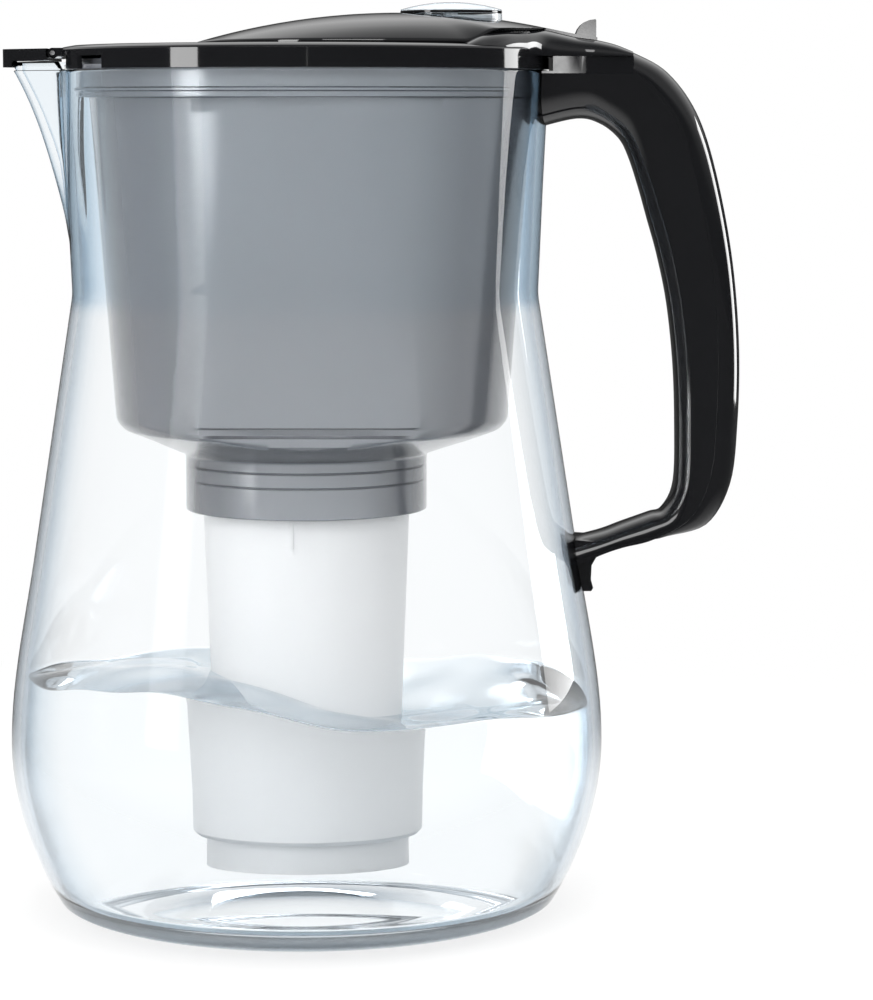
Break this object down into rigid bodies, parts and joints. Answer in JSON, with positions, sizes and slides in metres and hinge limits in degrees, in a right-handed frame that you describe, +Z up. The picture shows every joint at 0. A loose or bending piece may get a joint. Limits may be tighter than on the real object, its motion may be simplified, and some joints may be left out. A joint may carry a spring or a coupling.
{
  "type": "water filter pitcher",
  "caption": "Clear water filter pitcher with drop-in funnel, filter cartridge, black cover with round flip lid, change indicator, hinged spout flap and loop handle.",
  "frame": {"origin": "centre of the jug's flat foot, on the surface that it stands on", "axes": "+Z up, spout towards -X, handle towards +X"},
  "size_m": [0.222, 0.1804, 0.277],
  "materials": {
    "clear_plastic": "gloss",
    "smoke_plastic": "gloss",
    "black_plastic": "gloss",
    "white_plastic": "satin",
    "mesh_fabric": "woven",
    "felt": "felt",
    "filter_media": "granular",
    "seal_rubber": "matt",
    "steel": "turned"
  },
  "bodies": {
    "jug": {"jug_body": "clear_plastic", "handle_frame": "black_plastic", "handle_back_cover": "black_plastic", "handle_screw": "steel"},
    "funnel": {"funnel": "smoke_plastic"},
    "cartridge": {"cartridge_cup": "white_plastic", "cartridge_cap": "white_plastic", "cartridge_mesh": "mesh_fabric", "cartridge_seal": "seal_rubber", "cartridge_media": "filter_media", "cartridge_felts": "felt", "cartridge_base": "white_plastic"},
    "cover": {"lid_frame": "black_plastic", "rear_cap": "black_plastic", "hinge_pin": "steel", "flap_pin": "steel"},
    "flip_lid": {"flip_dome": "black_plastic", "flip_liner": "black_plastic", "thumb_lever": "black_plastic", "indicator_housing": "clear_plastic", "indicator_scale": "white_plastic"},
    "indicator": {"indicator_bezel": "black_plastic", "indicator_lens": "clear_plastic", "indicator_clip": "steel"},
    "spout_flap": {"spout_flap": "black_plastic"}
  },
  "joints": [
    {"name": "funnel_lift", "type": "slide", "parent": "jug", "child": "funnel", "axis": [0, 0, 1], "range_m": [0, 0.14]},
    {"name": "cartridge_lift", "type": "slide", "parent": "funnel", "child": "cartridge", "axis": [0, 0, 1], "range_m": [0, 0.06]},
    {"name": "cover_lift", "type": "slide", "parent": "funnel", "child": "cover", "axis": [0, 0, 1], "range_m": [0, 0.05]},
    {"name": "flip_lid_hinge", "type": "hinge", "parent": "cover", "child": "flip_lid", "pos_m": [0.0805, 0, 0.2618], "axis": [0, 1, 0], "range_deg": [0, 70]},
    {"name": "indicator_turn", "type": "hinge", "parent": "flip_lid", "child": "indicator", "pos_m": [0.044, 0, 0.274], "axis": [0, 0, 1], "continuous": true},
    {"name": "spout_flap_hinge", "type": "hinge", "parent": "cover", "child": "spout_flap", "pos_m": [-0.074, 0, 0.261], "axis": [0, 1, 0], "range_deg": [0, 50]}
  ]
}
